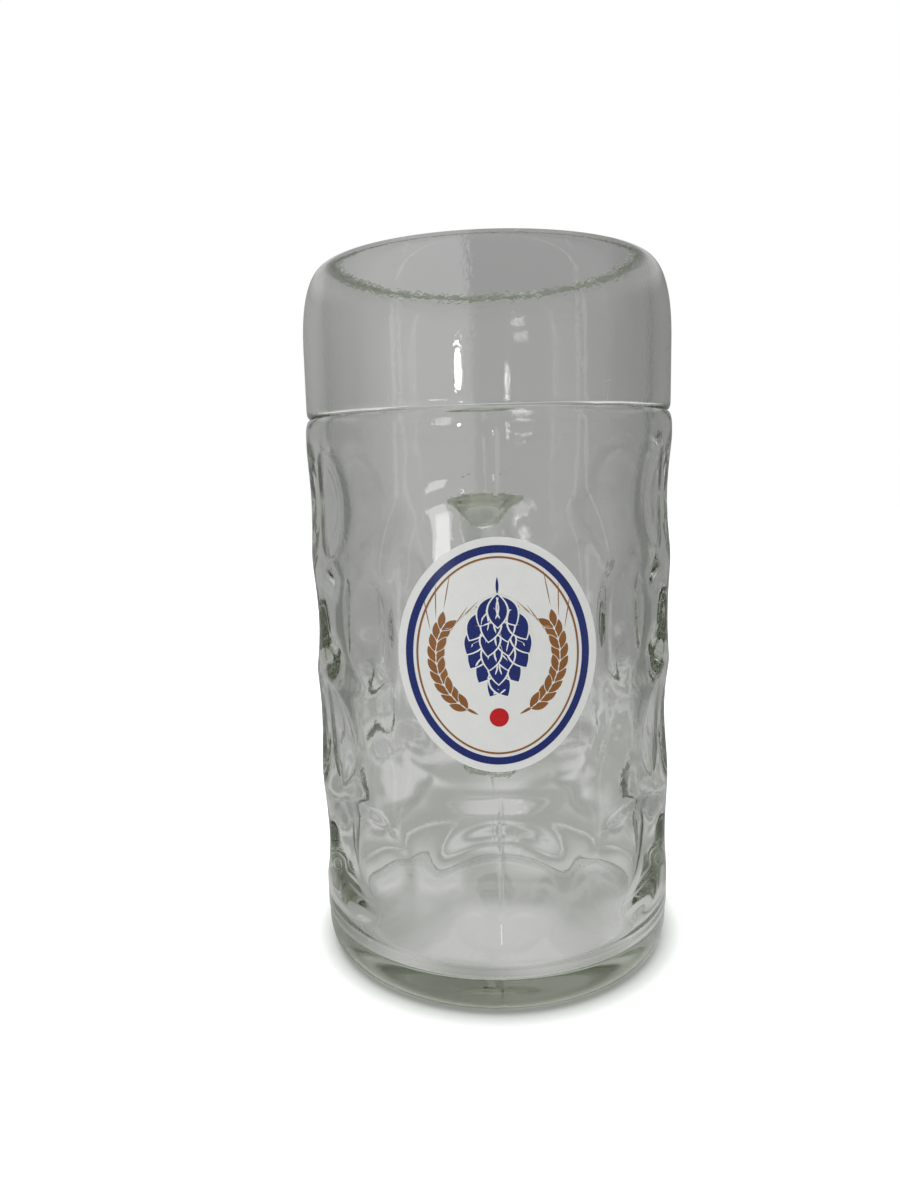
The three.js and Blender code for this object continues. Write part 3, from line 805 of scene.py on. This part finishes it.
front_side = add_node(room_tone, "ShaderNodeMapRange", turned, *front_start, 0.0, 1.0,
                      interpolation_type="SMOOTHSTEP")
strip = add_node(room_tone, MATH, turned, strip_angle, strip_half_width, operation="COMPARE")
dim_side = add_node(room_tone, "ShaderNodeMapRange", turned, *side_start, 0.0, 1.0,
                    interpolation_type="SMOOTHSTEP")
dim_side = add_node(room_tone, MATH, dim_side, front_side, operation="SUBTRACT")
not_high = add_node(room_tone, "ShaderNodeMapRange", up, *side_levels, 1.0, 0.0)
dim_side = add_node(room_tone, MATH, dim_side, not_high, operation="MULTIPLY")
over_bottom = add_node(room_tone, "ShaderNodeMapRange", up, *band_bottom, 0.0, 1.0)
under_top = add_node(room_tone, "ShaderNodeMapRange", up, *band_top, 1.0, 0.0)
band = add_node(room_tone, MATH, over_bottom, under_top, operation="MULTIPLY")
wall = add_node(room_tone, "ShaderNodeMix", {0: to_right, 6: linear("#a8a8a8"), 7: linear("#909090")},
                data_type="RGBA")
near_table = add_node(room_tone, "ShaderNodeMix", {0: to_right, 6: linear("#a1a1a0"), 7: linear("#949493")},
                      data_type="RGBA")
layers = (
    (low_wall, near_table.outputs[2]),
    (front_side, linear("#f2f2f2")),
    (strip, strip_glow),
    (dim_side, linear("#7a7c79")),
    (band, linear("#ececec")),
)
for share, colour in layers:
    wall = add_node(room_tone, "ShaderNodeMix", {0: share, 6: wall.outputs[2], 7: colour}, data_type="RGBA")
add_node(room_tone, "NodeGroupOutput", wall.outputs[2])

# Pale floor
# A plain matt table top. To the camera it reads as white, with a soft painted contact shadow under the
# foot, darker where the glass stands close. Bent or mirrored by the glass it shows the room's tone, and a
# mottled pool of light close behind the foot; for light on matt things it is an ordinary pale grey.
floor_size = 4.0
floor_gap = 0.0003
pool_edge = (0.05, 0.4)
cloud_size = 1 / 24
cloud_edge = (0.35, 0.65)
white_level = 1.7
# The painted contact shadow: its darkest level, how far it reaches, the occlusion range it spans and its
# samples
contact_shadow_level = 0.45
contact_shadow_reach = 0.012
contact_shadow_range = (0.3, 0.95)
contact_shadow_samples = 16
floor_data = bpy.data.meshes.new("floor")
corner = floor_size / 2
floor_data.from_pydata([(-corner, -corner, 0), (corner, -corner, 0), (corner, corner, 0),
                        (-corner, corner, 0)], [], [(0, 1, 2, 3)])
floor = bpy.data.objects.new("floor", floor_data)
bpy.context.scene.collection.objects.link(floor)
floor.location.z = -floor_gap
table_top = bpy.data.materials.new("matt_pale_table")
table_top.use_nodes = True
tree = table_top.node_tree
tree.nodes.clear()
path = add_node(tree, "ShaderNodeLightPath")
through = add_node(tree, MATH, path.outputs["Is Glossy Ray"], path.outputs["Is Transmission Ray"],
                   operation="MAXIMUM")
from_axis = add_node(tree, "ShaderNodeVectorMath", add_node(tree, "ShaderNodeTexCoord").outputs["Object"],
                     (0, axis_y, 0), operation="SUBTRACT")
pool = add_node(tree, "ShaderNodeVectorMath", from_axis, (0, body_radius, 0), operation="SUBTRACT")
distance = add_node(tree, "ShaderNodeVectorMath", pool, operation="LENGTH").outputs["Value"]
far_away = add_node(tree, "ShaderNodeMapRange", distance, *pool_edge, 0.0, 1.0,
                    interpolation_type="SMOOTHSTEP")
cloud = add_node(tree, "ShaderNodeTexNoise", {"Vector": from_axis, "Scale": 1 / cloud_size, "Detail": 0.0})
cloud = add_node(tree, "ShaderNodeMapRange", cloud, *cloud_edge, 0.0, 1.0, interpolation_type="SMOOTHSTEP")
close_by = add_node(tree, "ShaderNodeMix", {0: cloud, 6: linear("#a0a19e"), 7: linear("#c8c8c7")},
                    data_type="RGBA")
tone = add_node(tree, "ShaderNodeGroup", from_axis, node_tree=room_tone)
in_glass = add_node(tree, "ShaderNodeMix", {0: far_away, 6: close_by.outputs[2], 7: tone}, data_type="RGBA")
in_glass = add_node(tree, "ShaderNodeEmission", in_glass.outputs[2], 1.0)
plain_grey = add_node(tree, "ShaderNodeBsdfDiffuse", linear("#d0d1cf"))
# Painted contact shadow: ambient occlusion darkens the camera's white wherever the glass stands close by
contact_shadow = add_node(tree, "ShaderNodeAmbientOcclusion", {"Distance": contact_shadow_reach}, samples=contact_shadow_samples)
contact_shadow = add_node(tree, "ShaderNodeMapRange", contact_shadow.outputs["AO"], *contact_shadow_range,
                   contact_shadow_level, white_level)
white_top = add_node(tree, "ShaderNodeBsdfDiffuse", contact_shadow)
not_seen = add_node(tree, "ShaderNodeMixShader", through, plain_grey, in_glass)
add_node(tree, "ShaderNodeOutputMaterial",
         add_node(tree, "ShaderNodeMixShader", path.outputs["Is Camera Ray"], not_seen, white_top))
floor_data.materials.append(table_top)

# Room
# A white background for the camera, a soft grey room for the glass to bend and mirror, and an even
# pale light for everything matt.
world = bpy.data.worlds.new("studio")
bpy.context.scene.world = world
world.use_nodes = True
tree = world.node_tree
tree.nodes.clear()
path = add_node(tree, "ShaderNodeLightPath")
direction = add_node(tree, "ShaderNodeTexCoord").outputs["Generated"]
tone = add_node(tree, "ShaderNodeGroup", direction, node_tree=room_tone)
through = add_node(tree, MATH, path.outputs["Is Glossy Ray"], path.outputs["Is Transmission Ray"],
                   operation="MAXIMUM")
soft = add_node(tree, "ShaderNodeBackground", linear("#e0e1e2"), 1.0)
grey = add_node(tree, "ShaderNodeBackground", tone, 1.0)
white = add_node(tree, "ShaderNodeBackground", linear("#ffffff"), 1.0)
around_glass = add_node(tree, "ShaderNodeMixShader", through, soft, grey)
add_node(tree, "ShaderNodeOutputWorld",
         add_node(tree, "ShaderNodeMixShader", path.outputs["Is Camera Ray"], around_glass, white))

# Lamps
# A small window beside the camera draws the bright upright streaks on the collar, a broad soft lamp
# overhead gives the shadow its side, and a small low one lays a sheen over the left of the label.
# Each has its name, azimuth and elevation in degrees, distance, width and height in metres, and watts.
lamps = (
    ("window", -18, 8.05, 1.6, 0.06, 0.085, 1.2),
    ("overhead", -30, 65, 1.8, 1.2, 1.2, 6),
    ("sheen", -29.5, -3.4, 0.55, 0.1, 0.08, 0.12),
)
for name, azimuth, elevation, distance, width, tall_side, power in lamps:
    light = bpy.data.lights.new(name, "AREA")
    light.shape = "RECTANGLE"
    light.size, light.size_y, light.energy = width, tall_side, power
    lamp = bpy.data.objects.new(name, light)
    bpy.context.scene.collection.objects.link(lamp)
    turn, tilt = math.radians(azimuth), math.radians(elevation)
    toward = Vector((math.sin(turn) * math.cos(tilt), -math.cos(turn) * math.cos(tilt), math.sin(tilt)))
    lamp.location = toward * distance + Vector((0, axis_y, height / 2))
    lamp.rotation_euler = (-toward).to_track_quat("-Z", "Y").to_euler()
    lamp.visible_glossy = lamp.visible_transmission = name != "overhead"

# Camera
# Held close to the glass and a little above its middle, as the photograph was taken, with the
# handle straight behind the body.
camera_distance = 0.26347
camera_height = 0.145035
focal_pixels = 869.36
picture_height = 1200
pitch_down = 0.155266
yaw = -0.047075
roll = -0.026206
body_turn = math.radians(-1.8)
forward = Vector((math.sin(yaw) * math.cos(pitch_down), math.cos(yaw) * math.cos(pitch_down),
                  -math.sin(pitch_down)))
right = Vector((math.cos(yaw), -math.sin(yaw), 0))
up = right.cross(forward)
level_right = right * math.cos(roll) + up * math.sin(roll)
level_up = up * math.cos(roll) - right * math.sin(roll)
stand = Matrix((level_right, level_up, -forward)).transposed().to_4x4()
stand.translation = (0, -camera_distance, camera_height)
view = bpy.data.cameras.new("view")
view.sensor_width = 36
view.lens = focal_pixels / picture_height * view.sensor_width
view.clip_start = 0.01
camera = bpy.data.objects.new("view", view)
bpy.context.scene.collection.objects.link(camera)
camera.matrix_world = Matrix.Translation((0, axis_y, 0)) @ Matrix.Rotation(body_turn, 4, "Z") @ stand
bpy.context.scene.camera = camera
bpy.context.scene.cycles.max_bounces = 32
bpy.context.scene.cycles.transmission_bounces = 32
bpy.context.scene.cycles.glossy_bounces = 16
bpy.context.scene.view_settings.view_transform = "Standard"
